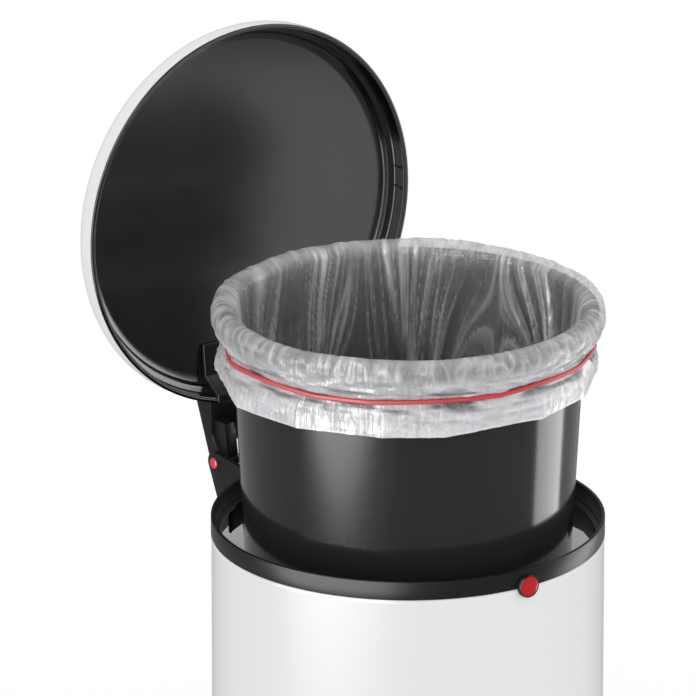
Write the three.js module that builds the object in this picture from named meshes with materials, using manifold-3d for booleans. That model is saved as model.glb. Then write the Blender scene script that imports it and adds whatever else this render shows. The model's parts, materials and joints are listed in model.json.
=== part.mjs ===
// Pedal bin: a steel body with a hinged lid, a pedal that opens it through a push rod, and a lift-out
// bucket with a bag held by an elastic band. Millimetres. The floor is z = 0 and the front is -Y.
// The lid stands open and the bucket is raised part of the way out of the body.
import * as THREE from "three";
import { mergeVertices } from "three/addons/utils/BufferGeometryUtils.js";
import Module from "manifold-3d";

const wasm = await Module();
wasm.setup();

// Driving sizes
const ringRadius = 150;
const ringTop = 575;
const ringHeight = 14.2;
const bodyRadius = 149.6;
const shellWall = 1.2;
const baseHeight = 34;
const floorHeight = 66;
const lidRadius = 150.3;
const lidHeight = 24.6;
const lidCorner = 14;
const lidWall = 1.2;
const rimAboveRing = 1.9;
const recessDepth = 21.8;
const hingeY = 191.2;
const hingeZ = ringTop - 6;
const lidOpenAngle = 90.9;
const bucketHeight = 496;
const bucketTopRadius = 134.7;
const bucketBottomRadius = 108.8;
const bucketWall = 2.2;
const flangeRadius = 144.6;
const flangeThickness = 2.8;
const bucketTop = 740.1;
const filmThickness = 0.6;
const hemDrop = 52;
const bandDrop = 26;
const pinRadius = 3;
const rodRadius = 3;
const rodY = 164;
const pivotY = -60;
const pivotZ = 24;
const pedalDownAngle = 6.8;
const axleRadius = 4;
const gap = 0.3;

// Sides of the large turned parts and of small round parts
const largeSides = 48;
const smallSides = 16;

const white = { color: 0xeceeef, roughness: 0.28, metalness: 0 };
const black = { color: 0x2d2f31, roughness: 0.38, metalness: 0 };
const steel = { color: 0xb9bcbf, roughness: 0.3, metalness: 1 };
const red = { color: 0xc8202e, roughness: 0.35, metalness: 0 };
const rubber = { color: 0x1d1e1f, roughness: 0.8, metalness: 0 };
const nylon = { color: 0xd8d6cf, roughness: 0.5, metalness: 0 };
const film = { color: 0xe6eaec, roughness: 0.3, metalness: 0 };
const elastic = { color: 0xd04046, roughness: 0.6, metalness: 0 };

// Shared vertices merged and triangles of no area dropped, so that a turned shape closes at its axis.
function closed(geometry) {
  const bare = geometry.clone();
  bare.deleteAttribute("normal");
  bare.deleteAttribute("uv");
  const merged = mergeVertices(bare, 1e-4);
  const kept = [];
  for (let i = 0; i < merged.index.count; i += 3) {
    const corners = [merged.index.getX(i), merged.index.getX(i + 1), merged.index.getX(i + 2)];
    if (new Set(corners).size === 3) kept.push(...corners);
  }
  merged.setIndex(kept);
  return merged;
}

function toSolid(geometry) {
  const source = closed(geometry);
  return new wasm.Manifold(new wasm.Mesh({
    numProp: 3,
    vertProperties: new Float32Array(source.attributes.position.array),
    triVerts: new Uint32Array(source.index.array),
  }));
}

function toGeometry(result) {
  const mesh = result.getMesh();
  const geometry = new THREE.BufferGeometry();
  geometry.setAttribute("position", new THREE.BufferAttribute(mesh.vertProperties, 3));
  geometry.setIndex(new THREE.BufferAttribute(mesh.triVerts, 1));
  return geometry;
}

function join(...pieces) {
  return toGeometry(pieces.map(toSolid).reduce((whole, piece) => whole.add(piece)));
}

function cut(base, ...tools) {
  return toGeometry(tools.map(toSolid).reduce((rest, tool) => rest.subtract(tool), toSolid(base)));
}

// Points of a round corner, from one angle to another in degrees
function arc(centreX, centreY, radius, from, to, steps) {
  return Array.from({ length: steps + 1 }, (_, i) => {
    const angle = THREE.MathUtils.degToRad(from + ((to - from) * i) / steps);
    return [centreX + radius * Math.cos(angle), centreY + radius * Math.sin(angle)];
  });
}

// Body turned about the Z axis from an outline of [radius, height], anticlockwise
function turned(outline, sides = largeSides) {
  const points = outline.map(([radius, height]) => new THREE.Vector2(radius, height));
  return closed(new THREE.LatheGeometry(points, sides).rotateX(Math.PI / 2));
}

// Tube-like body whose outline doesn't reach the axis
function turnedRing(outline, sides = largeSides) {
  return turned([...outline, outline[0]], sides);
}

// Plate with a side outline of [y, z], between two planes across X
function sidePlate(outline, left, right) {
  const shape = new THREE.Shape(outline.map(([y, z]) => new THREE.Vector2(y, z)));
  const plate = new THREE.ExtrudeGeometry(shape, { depth: right - left, bevelEnabled: false });
  return plate.applyMatrix4(new THREE.Matrix4().set(0, 0, 1, left, 1, 0, 0, 0, 0, 1, 0, 0, 0, 0, 0, 1));
}

function block([x0, x1], [y0, y1], [z0, z1]) {
  const box = new THREE.BoxGeometry(x1 - x0, y1 - y0, z1 - z0);
  return box.translate((x0 + x1) / 2, (y0 + y1) / 2, (z0 + z1) / 2);
}

function rodAlongX(radius, [x0, x1], y, z, sides = smallSides) {
  const rod = new THREE.CylinderGeometry(radius, radius, x1 - x0, sides);
  return rod.rotateZ(Math.PI / 2).translate((x0 + x1) / 2, y, z);
}

function rodAlongY(radius, x, [y0, y1], z, sides = smallSides) {
  return new THREE.CylinderGeometry(radius, radius, y1 - y0, sides).translate(x, (y0 + y1) / 2, z);
}

function rodAlongZ(radius, x, y, [z0, z1], sides = smallSides) {
  const rod = new THREE.CylinderGeometry(radius, radius, z1 - z0, sides);
  return rod.rotateX(Math.PI / 2).translate(x, y, (z0 + z1) / 2);
}

function addPart(group, name, geometry, look) {
  const mesh = new THREE.Mesh(closed(geometry), new THREE.MeshStandardMaterial(look));
  mesh.name = name;
  group.add(mesh);
}

const bin = new THREE.Group();
const slotHalfWidth = 10.5;

// Base: a plastic pan with an anti-slip ring let into its underside, slotted front and back for the lever
const panFloor = 3.6;
const panWall = 3;
const gripInner = 136;
const gripOuter = 142;
const pan = turned([
  [0, 0],
  [gripInner - gap, 0],
  [gripInner - gap, 2],
  [gripOuter + gap, 2],
  [gripOuter + gap, 0],
  [ringRadius - 1, 0],
  [ringRadius, 1],
  [ringRadius, baseHeight],
  [ringRadius - panWall, baseHeight],
  [ringRadius - panWall, panFloor],
  [0, panFloor],
]);
const slotX = [-slotHalfWidth, slotHalfWidth];
addPart(bin, "base_pan", cut(
  pan,
  block(slotX, [-160, -140], [8, baseHeight + 6]),
  block(slotX, [140, 160], [10, baseHeight + 6]),
), black);
const gripRing = [[gripInner, 0], [gripOuter, 0], [gripOuter, 2 - gap], [gripInner, 2 - gap]];
addPart(bin, "anti_slip_ring", turnedRing(gripRing), rubber);

// Body: a steel tube between base and ring, with a pressed floor that covers the lever
const shellTop = ringTop - ringHeight - gap;
const shellInner = bodyRadius - shellWall;
const shell = turnedRing([
  [shellInner, baseHeight + gap],
  [bodyRadius, baseHeight + gap],
  [bodyRadius, shellTop],
  [shellInner, shellTop],
]);
addPart(bin, "body_shell", cut(shell, block(slotX, [140, 160], [baseHeight - 4, 57])), white);
addPart(bin, "inner_floor", turned([
  [0, floorHeight - 2],
  [shellInner - 1.7, floorHeight - 2],
  [shellInner - 1.7, floorHeight - 10],
  [shellInner - 0.5, floorHeight - 10],
  [shellInner - 0.5, floorHeight],
  [0, floorHeight],
]), steel);

// Top ring: a skirt over the shell's edge, a collar inside it and a ledge that the bucket's flange sits on
const ledgeZ = ringTop - 13.3;
const ledgeRadius = 142.9;
addPart(bin, "top_ring", turnedRing([
  [ringRadius, ringTop - ringHeight],
  [ringRadius, ringTop - 1],
  [ringRadius - 0.8, ringTop],
  [147.6, ringTop],
  [147, ringTop - 0.8],
  [147, ledgeZ],
  [ledgeRadius, ledgeZ],
  [ledgeRadius, ledgeZ - 2.5],
  [145.2, ledgeZ - 3.5],
  [145.2, ringTop - 28],
  [shellInner - 0.6, ringTop - 28],
  [shellInner - 0.6, ringTop - ringHeight],
]), black);

// Badge: a plain round face in a bezel, seated on the front of ring and shell
const badgeZ = ringTop - 13;
const badgeFront = -153.7;
const bodyCutter = rodAlongZ(ringRadius + gap, 0, 0, [400, 600], largeSides);
addPart(bin, "badge_bezel", cut(
  rodAlongY(8.9, 0, [badgeFront, -146], badgeZ, 32),
  rodAlongY(7.8, 0, [badgeFront - 1, badgeFront + 1.2], badgeZ, 32),
  bodyCutter,
), black);
addPart(bin, "badge_face", rodAlongY(7.5, 0, [badgeFront + 0.2, badgeFront + 0.9], badgeZ, 32), red);

// Hinge bracket: two ears for the pin, a plate against the body and a sloping wall behind
const earOuter = 44;
const earInner = 40.5;
const bracketFoot = ringTop - 70;
const bracketBack = [[175.3, bracketFoot], [188, ringTop - 33], [199.4, ringTop - 9]];
const earOutline = [
  [140, bracketFoot],
  ...bracketBack,
  ...arc(hingeY, hingeZ, 8.7, -15, 95, 7),
  [158, ringTop + 0.5],
  [140, ringTop + 0.5],
];
const rearWall = [
  [172.3, bracketFoot],
  [175.3, bracketFoot],
  [188, ringTop - 33],
  [193.2, ringTop - 22],
  [190, ringTop - 22],
  [185, ringTop - 33],
];
const pinBore = rodAlongX(pinRadius + gap, [-60, 60], hingeY, hingeZ);
addPart(bin, "hinge_bracket", cut(
  join(
    sidePlate(earOutline, -earOuter, -earInner),
    sidePlate(earOutline, earInner, earOuter),
    block([-earInner - 1, earInner + 1], [140, 154], [bracketFoot, ringTop - 17]),
    sidePlate(rearWall, -earInner - 1, earInner + 1),
  ),
  bodyCutter,
  pinBore,
), black);
for (const [side, x] of [["left", -30], ["right", 30]]) {
  addPart(bin, `bracket_screw_${side}`, rodAlongY(3.8, x, [154.3, 156.6], ringTop - 48), steel);
}
addPart(bin, "hinge_pin", rodAlongX(pinRadius, [-43.9, 43.9], hingeY, hingeZ), steel);
addPart(bin, "pin_cap_left", rodAlongX(4.25, [-46, -44.3], hingeY, hingeZ), red);
addPart(bin, "pin_cap_right", rodAlongX(4.25, [44.3, 46], hingeY, hingeZ), red);

// Soft-close damper: its housing is held by the bracket, and its rotor turns with the lid
addPart(bin, "damper_housing", cut(
  join(
    rodAlongX(7, [9, 22.6], hingeY, hingeZ),
    block([12, 20], [179.2, 186], [ringTop - 29, hingeZ - 2]),
  ),
  pinBore,
), rubber);

// Push rod channel up the back of the body, with two guides inside it
const channelTop = bracketFoot - gap;
const channelBack = 175;
const channelHalf = 15;
const channelWall = 2.4;
addPart(bin, "rod_cover", cut(
  block([-channelHalf, channelHalf], [ringRadius + gap + 0.1, channelBack], [10, channelTop]),
  block([channelWall - channelHalf, channelHalf - channelWall], [140, channelBack - channelWall], [0, 520]),
), white);
for (const [place, z] of [["lower", 120], ["upper", 480]]) {
  const guide = block([-12.2, 12.2], [ringRadius + 0.8, channelBack - channelWall - 0.4], [z, z + 10]);
  const bore = rodAlongZ(rodRadius + 0.4, 0, rodY, [z - 5, z + 15]);
  addPart(bin, `rod_guide_${place}`, cut(guide, bore), nylon);
  const screw = rodAlongY(3.6, 0, [channelBack + gap, channelBack + 2.2], z + 5);
  addPart(bin, `cover_screw_${place}`, screw, steel);
}

// Pedal bearings and axle on the pan's floor
for (const [side, x] of [["left", [-19, -9]], ["right", [9, 19]]]) {
  addPart(bin, `pedal_bearing_${side}`, cut(
    block(x, [pivotY - 12, pivotY + 12], [panFloor + gap, pivotZ + 8]),
    rodAlongX(axleRadius + gap, [-30, 30], pivotY, pivotZ),
  ), nylon);
}
addPart(bin, "pedal_axle", rodAlongX(axleRadius, [-18.6, 18.6], pivotY, pivotZ), steel);

// Pedal: drawn level about its axle, then turned down at the front
const pedal = new THREE.Group();
pedal.position.set(0, pivotY, pivotZ);
pedal.rotation.x = THREE.MathUtils.degToRad(pedalDownAngle);
bin.add(pedal);
const leverOutline = [
  [-146, 5.5],
  [-103, 5.5],
  [-91, -2.5],
  [232, -2.5],
  [232, 2.5],
  [-88.5, 2.5],
  [-100.5, 10.5],
  [-146, 10.5],
];
addPart(pedal, "pedal_lever", cut(
  join(sidePlate(leverOutline, -8, 8), rodAlongX(9, [-8, 8], 0, 0)),
  rodAlongX(axleRadius + gap, [-10, 10], 0, 0),
), steel);
addPart(pedal, "pedal_tread", block([-32, 32], [-162, -108], [10.8, 13.4]), steel);
addPart(pedal, "pedal_pad", block([-29, 29], [-159.5, -110.5], [13.7, 16.5]), rubber);

// Push rod: a steel rod with a nylon foot on the lever and a pusher under the lid's lobe
const pusherTop = ringTop + 4.8;
const footBottom = 54.4;
addPart(bin, "rod_foot", rodAlongZ(5, 0, rodY, [footBottom, footBottom + 12]), nylon);
addPart(bin, "push_rod", rodAlongZ(rodRadius, 0, rodY, [footBottom + 12 + gap, pusherTop - 4 - gap]), steel);
addPart(bin, "rod_pusher", block([-8, 8], [158, 176], [pusherTop - 4, pusherTop]), nylon);

// Lid: drawn closed about the hinge pin, then swung open
const lid = new THREE.Group();
lid.position.set(0, hingeY, hingeZ);
lid.rotation.x = -THREE.MathUtils.degToRad(lidOpenAngle);
bin.add(lid);
const rimZ = ringTop + rimAboveRing - hingeZ;
const cornerRadius = lidRadius - lidCorner;
const cornerZ = lidHeight - lidCorner;

// A turned lid part, from heights above the rim's plane to its place beside the pin
function lidTurned(outline) {
  return turned(outline).translate(0, -hingeY, rimZ);
}

addPart(lid, "lid_shell", lidTurned([
  [0, lidHeight + 1.4 - lidWall],
  ...arc(cornerRadius, cornerZ, lidCorner - lidWall, 90, 0, 4),
  [lidRadius - lidWall, 1.8],
  [lidRadius, 1.8],
  ...arc(cornerRadius, cornerZ, lidCorner, 0, 90, 5),
  [0, lidHeight + 1.4],
]), white);
addPart(lid, "lid_liner", lidTurned([
  [0, recessDepth],
  [132, recessDepth],
  [139.5, 18.4],
  [141.4, 14.4],
  [146.3, 12],
  [146.3, 0],
  [lidRadius, 0],
  [lidRadius, 1.5],
  [147.5, 1.5],
  [147.5, 12.6],
  [142.6, 15],
  [140.7, 19.2],
  [132.4, recessDepth + 1.1],
  [0, recessDepth + 1.1],
]), black);
const lidForm = lidTurned([
  [0, -5],
  [lidRadius + gap, -5],
  ...arc(cornerRadius, cornerZ, lidCorner + gap, 0, 90, 5),
  [0, lidHeight + 1.4 + gap],
]);

// Lid arm: two knuckles on the pin with cheeks up to the lid, a web between them and the pushed lobe
const knuckleInner = 26.5;
const knuckleOuter = 39.5;
const lobeY = -16.8;
const lobeZ = -17.1;
const cheek = [[-58, 9.8], [-22, 9.8], [-7, 0], [7, 2], [2, 11.6], [-58, 35]];
const web = [[-58, 12], [-36, 12], [-32, 16], [-36, 24], [-58, 32]];
const lobePlate = [[-38, 13], [-21.5, -17], [-15, -18.8], [1.8, -1.8], [7, 4], [-32, 20]];
addPart(lid, "lid_arm", cut(
  join(
    sidePlate(web, -knuckleInner - 1, knuckleInner + 1),
    sidePlate(lobePlate, -6, 6),
    rodAlongX(8, [-6, 6], 0, 0),
    rodAlongX(5, [-6, 6], lobeY, lobeZ),
    ...[[-knuckleOuter, -knuckleInner], [knuckleInner, knuckleOuter]].flatMap((reach) => [
      rodAlongX(8, reach, 0, 0),
      sidePlate(cheek, ...reach),
    ]),
  ),
  lidForm,
  rodAlongX(pinRadius + gap, [-60, 60], 0, 0),
), black);
addPart(lid, "damper_rotor", cut(
  rodAlongX(6.5, [22.9, 26.2], 0, 0),
  rodAlongX(pinRadius + gap, [20, 30], 0, 0),
), nylon);

// Clamp plate inside the recess, which ties liner and arm together with two flush screws
const clampZ = [rimZ + recessDepth - 1.2, rimZ + recessDepth - gap];
const clampY = [-89, -64.5];
const clampMiddle = -76.5;
const clampScrews = [["left", -14], ["right", 14]];
addPart(lid, "lid_clamp_plate", cut(
  block([-32, 32], clampY, clampZ),
  ...clampScrews.map(([, x]) => rodAlongZ(3.5, x, clampMiddle, [clampZ[0] - 1, clampZ[1] + 1])),
), black);
for (const [side, x] of clampScrews) {
  addPart(lid, `clamp_screw_${side}`, rodAlongZ(3.2, x, clampMiddle, [clampZ[0] + 0.1, clampZ[1]]), steel);
}

// Bucket: a tapered tub with a flat flange round its mouth
const tubBottom = bucketTop - bucketHeight;
const flangeBottom = bucketTop - flangeThickness;
const tubFloor = tubBottom + 2.8;
const innerTopRadius = bucketTopRadius - bucketWall;
const innerBottomRadius = bucketBottomRadius - bucketWall;
addPart(bin, "bucket", turned([
  [0, tubBottom],
  [bucketBottomRadius - 3, tubBottom],
  [bucketBottomRadius, tubBottom + 3],
  [bucketTopRadius, flangeBottom],
  [flangeRadius, flangeBottom],
  [flangeRadius, bucketTop],
  [innerTopRadius, bucketTop],
  [innerBottomRadius, tubFloor],
  [0, tubFloor],
]), black);

// Bag: a film against the tub's inside, folded out over the flange and down outside it to a free hem
const filmOut = 142.3;
const filmIn = filmOut - filmThickness;
const waist = 138.4;
const overFlange = flangeRadius + 0.5;
const filmClear = 0.4;
addPart(bin, "bin_bag", turned([
  [0, tubFloor + filmClear],
  [innerBottomRadius - filmClear, tubFloor + filmClear],
  [innerTopRadius - filmClear, bucketTop + gap],
  [overFlange, bucketTop + gap],
  [overFlange, flangeBottom - gap],
  [filmIn, flangeBottom - gap],
  [filmIn, bucketTop - bandDrop + 7.3],
  [waist - filmThickness, bucketTop - bandDrop + 2.3],
  [waist - filmThickness, bucketTop - bandDrop - 2.3],
  [filmIn, bucketTop - bandDrop - 8.3],
  [filmIn, bucketTop - hemDrop],
  [filmOut, bucketTop - hemDrop],
  [filmOut, bucketTop - bandDrop - 8],
  [waist, bucketTop - bandDrop - 2],
  [waist, bucketTop - bandDrop + 2],
  [filmOut, bucketTop - bandDrop + 7],
  [filmOut, flangeBottom - gap - filmThickness],
  [overFlange + filmThickness, flangeBottom - gap - filmThickness],
  [overFlange + filmThickness, bucketTop + gap + filmThickness],
  [innerTopRadius - filmClear - filmThickness, bucketTop + gap + filmThickness],
  [innerBottomRadius - filmClear - filmThickness, tubFloor + filmClear + filmThickness],
  [0, tubFloor + filmClear + filmThickness],
]), film);

// Elastic band round the bag below the flange
const bandRadius = 1.7;
const band = new THREE.TorusGeometry(waist + gap + bandRadius, bandRadius, 8, largeSides);
addPart(bin, "elastic_band", band.translate(0, 0, bucketTop - bandDrop), elastic);

export default bin;
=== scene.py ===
import json
import math
import random

import bmesh
import bpy
from mathutils import Matrix, Vector, noise


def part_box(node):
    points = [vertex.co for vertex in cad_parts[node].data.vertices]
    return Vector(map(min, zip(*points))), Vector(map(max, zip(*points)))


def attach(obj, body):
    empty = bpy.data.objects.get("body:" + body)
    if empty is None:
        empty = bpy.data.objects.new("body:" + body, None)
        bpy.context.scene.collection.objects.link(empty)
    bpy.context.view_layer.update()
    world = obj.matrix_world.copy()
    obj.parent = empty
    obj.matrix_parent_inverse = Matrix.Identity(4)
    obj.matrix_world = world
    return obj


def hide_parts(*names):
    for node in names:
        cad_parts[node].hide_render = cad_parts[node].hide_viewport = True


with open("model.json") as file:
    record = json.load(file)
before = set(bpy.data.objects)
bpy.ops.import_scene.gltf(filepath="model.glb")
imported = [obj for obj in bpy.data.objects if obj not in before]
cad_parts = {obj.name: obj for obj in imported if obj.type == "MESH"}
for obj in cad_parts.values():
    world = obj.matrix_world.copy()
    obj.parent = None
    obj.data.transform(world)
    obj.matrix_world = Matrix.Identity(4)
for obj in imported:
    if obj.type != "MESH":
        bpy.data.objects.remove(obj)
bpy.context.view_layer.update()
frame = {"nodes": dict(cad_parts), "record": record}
mm = 0.001


# small helpers

def deselectAll():
    if bpy.context.object and bpy.context.object.mode != "OBJECT":
        bpy.ops.object.mode_set(mode="OBJECT")
    bpy.ops.object.select_all(action="DESELECT")


def pick(piece):
    deselectAll()
    piece.select_set(True)
    bpy.context.view_layer.objects.active = piece


def settle(piece):
    # place, turn and scale go into the mesh, so the object itself sits at the origin
    pick(piece)
    bpy.ops.object.transform_apply(location=True, rotation=True, scale=True)
    return piece


def tidyMesh(piece, distance=0.00001):
    pick(piece)
    bpy.ops.object.mode_set(mode="EDIT")
    bpy.ops.mesh.select_all(action="SELECT")
    bpy.ops.mesh.remove_doubles(threshold=distance)
    bpy.ops.mesh.normals_make_consistent(inside=False)
    bpy.ops.object.mode_set(mode="OBJECT")
    return piece


def addModifier(piece, kind, **settings):
    pick(piece)
    modifier = piece.modifiers.new(kind.title(), kind)
    for name, value in settings.items():
        setattr(modifier, name, value)
    bpy.ops.object.modifier_apply(modifier=modifier.name)
    return piece


def roundEdges(piece, width, segments=3, angle=30):
    return addModifier(piece, "BEVEL", width=width * mm, segments=segments, limit_method="ANGLE",
                       angle_limit=math.radians(angle), miter_outer="MITER_ARC", use_clamp_overlap=True)


def cutWith(piece, tool):
    addModifier(piece, "BOOLEAN", object=tool, operation="DIFFERENCE", solver="EXACT")
    bpy.data.objects.remove(tool)
    return piece


def joinWith(piece, tool):
    addModifier(piece, "BOOLEAN", object=tool, operation="UNION", solver="EXACT")
    bpy.data.objects.remove(tool)
    return piece


def smooth(piece, angle=32):
    pick(piece)
    bpy.ops.object.shade_smooth_by_angle(angle=math.radians(angle))
    return piece


def drawLine(name, points, close):
    # one vertex is extruded from point to point, as with E and G by hand
    deselectAll()
    bpy.ops.mesh.primitive_plane_add(size=0.001)
    piece = bpy.context.object
    piece.name = name
    bpy.ops.object.mode_set(mode="EDIT")
    bpy.ops.mesh.select_all(action="SELECT")
    bpy.ops.mesh.merge(type="CENTER")
    bpy.ops.transform.translate(value=points[0])
    for start, end in zip(points, points[1:]):
        step = [b - a for a, b in zip(start, end)]
        bpy.ops.mesh.extrude_region_move(TRANSFORM_OT_translate={"value": step})
    if close:
        bpy.ops.object.mode_set(mode="OBJECT")
        ends = (0, len(points) - 1)
        for vertex in piece.data.vertices:
            vertex.select = vertex.index in ends
        bpy.ops.object.mode_set(mode="EDIT")
        bpy.ops.mesh.edge_face_add()
    return piece


def turned(name, outline, steps=256, close=True, angle=360):
    # outline is [radius, height] in mm; it is drawn in the XZ plane and spun round Z
    points = [(radius * mm, 0, height * mm) for radius, height in outline]
    piece = drawLine(name, points, close)
    bpy.ops.mesh.select_all(action="SELECT")
    bpy.ops.mesh.spin(steps=steps, angle=math.radians(angle), center=(0, 0, 0), axis=(0, 0, 1))
    bpy.ops.object.mode_set(mode="OBJECT")
    return tidyMesh(piece)


def plate(name, outline, left, right):
    # outline is [y, z] in mm; it is filled and pulled along X
    points = [(left * mm, y * mm, z * mm) for y, z in outline]
    piece = drawLine(name, points, True)
    bpy.ops.mesh.select_all(action="SELECT")
    bpy.ops.mesh.edge_face_add()
    bpy.ops.mesh.extrude_region_move(TRANSFORM_OT_translate={"value": ((right - left) * mm, 0, 0)})
    bpy.ops.object.mode_set(mode="OBJECT")
    return tidyMesh(piece)


def block(name, low, high):
    deselectAll()
    centre = [(a + b) / 2 * mm for a, b in zip(low, high)]
    size = [(b - a) * mm for a, b in zip(low, high)]
    bpy.ops.mesh.primitive_cube_add(size=1, location=centre, scale=size)
    bpy.context.object.name = name
    return settle(bpy.context.object)


def rod(name, radius, start, end, sides=48):
    # a round bar between two points in mm
    deselectAll()
    a, b = Vector(start) * mm, Vector(end) * mm
    turn = (b - a).to_track_quat("Z", "Y").to_euler()
    bpy.ops.mesh.primitive_cylinder_add(vertices=sides, radius=radius * mm, depth=(b - a).length,
                                        location=(a + b) / 2, rotation=turn)
    bpy.context.object.name = name
    return settle(bpy.context.object)


def merge(name, pieces):
    pick(pieces[0])
    for piece in pieces:
        piece.select_set(True)
    bpy.ops.object.join()
    pieces[0].name = name
    return pieces[0]


def bow(centreX, centreY, radius, start, end, steps):
    # points of a round corner
    turns = [math.radians(start + (end - start) * i / steps) for i in range(steps + 1)]
    return [(centreX + radius * math.cos(t), centreY + radius * math.sin(t)) for t in turns]


def boxMm(node):
    low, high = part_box(node)
    return [v / mm for v in low], [v / mm for v in high]


def turnedAbout(piece, y, z, degrees):
    # turn about a pin along X at y, z in mm
    pin = Vector((0, y, z)) * mm
    turn = Matrix.Translation(pin) @ Matrix.Rotation(math.radians(degrees), 4, "X") @ Matrix.Translation(-pin)
    piece.matrix_world = turn @ piece.matrix_world
    return settle(piece)


def jointPlace(name):
    # a hinge's place in mm and its range in degrees
    joint = next(j for j in frame["record"]["behaviour"]["joints"] if j["name"] == name)
    return [v / mm for v in joint["pos_m"]], joint["range_deg"]


def finishPiece(piece, material, body, slot, *nodes):
    piece.data.materials.clear()
    piece.data.materials.append(material)
    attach(piece, body)
    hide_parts(*nodes)
    return piece


# camera at the catalogue angle

view = {
    "place": (-4.5677, -6.1430, 3.4023),
    "aim": (-0.0108, 0.0623, 0.6929),
    "lens": 554.7,
    "sensor": 36,
    "clipEnd": 200,
}


def addCamera():
    place, aim = Vector(view["place"]), Vector(view["aim"])
    deselectAll()
    bpy.ops.object.camera_add(location=place, rotation=(aim - place).to_track_quat("-Z", "Y").to_euler())
    camera = bpy.context.object
    camera.data.lens = view["lens"]
    camera.data.sensor_width = view["sensor"]
    camera.data.clip_end = view["clipEnd"]
    bpy.context.scene.camera = camera


addCamera()
print("camera placed")


# studio

def linear(code):
    # sRGB hex to linear
    parts = [int(code[i:i + 2], 16) / 255 for i in (1, 3, 5)]
    return [c / 12.92 if c <= 0.04045 else ((c + 0.055) / 1.055) ** 2.4 for c in parts] + [1.0]


def addNode(tree, kind, settings=None, links=None):
    # settings fill sockets by name and properties by name; links go from another node's output to a socket
    node = tree.nodes.new(kind)
    for name, value in (settings or {}).items():
        if name in node.inputs:
            node.inputs[name].default_value = value
        else:
            setattr(node, name, value)
    for name, source in (links or {}).items():
        tree.links.new(source, node.inputs[name])
    return node


def newMaterial(name, **settings):
    material = bpy.data.materials.new(name)
    material.use_nodes = True
    material.node_tree.nodes.clear()
    tree = material.node_tree
    shader = addNode(tree, "ShaderNodeBsdfPrincipled", settings)
    addNode(tree, "ShaderNodeOutputMaterial", links={"Surface": shader.outputs[0]})
    return material, tree, shader


studio = {
    "skyStrength": 1.04,
    "glossSky": 0.34,  # what gloss mirrors between the softboxes
    "boxHeight": 2.6,
    "boxDistance": 0.95,
    "leftToward": (-0.977, -0.211, 0),
    "leftWidth": 1.28,
    "leftRadiance": 7.6,
    "rightToward": (0.968, -0.25, 0),
    "rightWidth": 0.5,
    "rightRadiance": 4.1,
    "linerToward": (0.67, -0.74, 0),
    "linerWidth": 2.6,
    "linerHeight": 1.5,
    "linerDistance": 1.35,
    "linerRadiance": 1.45,
    "insideWatts": 0.8,
    "insideHeight": 0.62,
    "floorColour": "#fbfbfb",
    "floorRadius": 60,
}


def addSoftbox(name, toward, width, height, distance, radiance):
    # a panel that stands on the floor, faces the axis and shows only in gloss
    place = Vector(toward).normalized() * distance
    deselectAll()
    bpy.ops.object.light_add(type="AREA", location=(place.x, place.y, height / 2))
    light = bpy.context.object
    light.name = name
    light.data.shape = "RECTANGLE"
    light.data.size = width
    light.data.size_y = height
    light.data.energy = radiance * math.pi * width * height
    light.rotation_euler = (-Vector((place.x, place.y, 0))).to_track_quat("-Z", "Y").to_euler()
    light.visible_camera = False
    light.visible_diffuse = False
    return light


def lightOnly(light, piece):
    # the light falls on this one piece
    group = bpy.data.collections.new(light.name + "Group")
    group.objects.link(piece)
    light.light_linking.receiver_collection = group


def lightNot(light, piece):
    # the light passes this one piece by
    group = bpy.data.collections.new(light.name + "Group")
    group.objects.link(piece)
    group.collection_objects[0].light_linking.link_state = "EXCLUDE"
    light.light_linking.receiver_collection = group


def addFloor():
    deselectAll()
    bpy.ops.mesh.primitive_circle_add(vertices=96, radius=studio["floorRadius"], fill_type="NGON")
    floor = bpy.context.object
    floor.name = "studioFloor"
    floor.visible_glossy = False
    material, _, shader = newMaterial("paintedFloor", Roughness=0.9)
    shader.inputs["Base Color"].default_value = linear(studio["floorColour"])
    shader.inputs["Specular IOR Level"].default_value = 0.0
    floor.data.materials.append(material)


def addSky():
    world = bpy.data.worlds.new("paleSky")
    world.use_nodes = True
    tree = world.node_tree
    background = tree.nodes["Background"]
    background.inputs["Color"].default_value = (1, 1, 1, 1)
    ray = addNode(tree, "ShaderNodeLightPath")
    strength = addNode(tree, "ShaderNodeMapRange",
                       {"To Min": studio["skyStrength"], "To Max": studio["glossSky"]},
                       {"Value": ray.outputs["Is Glossy Ray"]})
    tree.links.new(strength.outputs[0], background.inputs["Strength"])
    bpy.context.scene.world = world
    bpy.context.scene.view_settings.view_transform = "Standard"


addFloor()
addSky()
addSoftbox("softboxLeft", studio["leftToward"], studio["leftWidth"], studio["boxHeight"],
           studio["boxDistance"], studio["leftRadiance"])
softboxRight = addSoftbox("softboxRight", studio["rightToward"], studio["rightWidth"], studio["boxHeight"],
                          studio["boxDistance"], studio["rightRadiance"])
linerPanel = addSoftbox("linerPanel", studio["linerToward"], studio["linerWidth"], studio["linerHeight"],
                        studio["linerDistance"], studio["linerRadiance"])
print("studio set")


# materials

def objectPlace(tree, scale):
    coords = addNode(tree, "ShaderNodeTexCoord")
    return addNode(tree, "ShaderNodeMapping", {"Scale": (scale,) * 3}, {"Vector": coords.outputs["Object"]})


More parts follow.
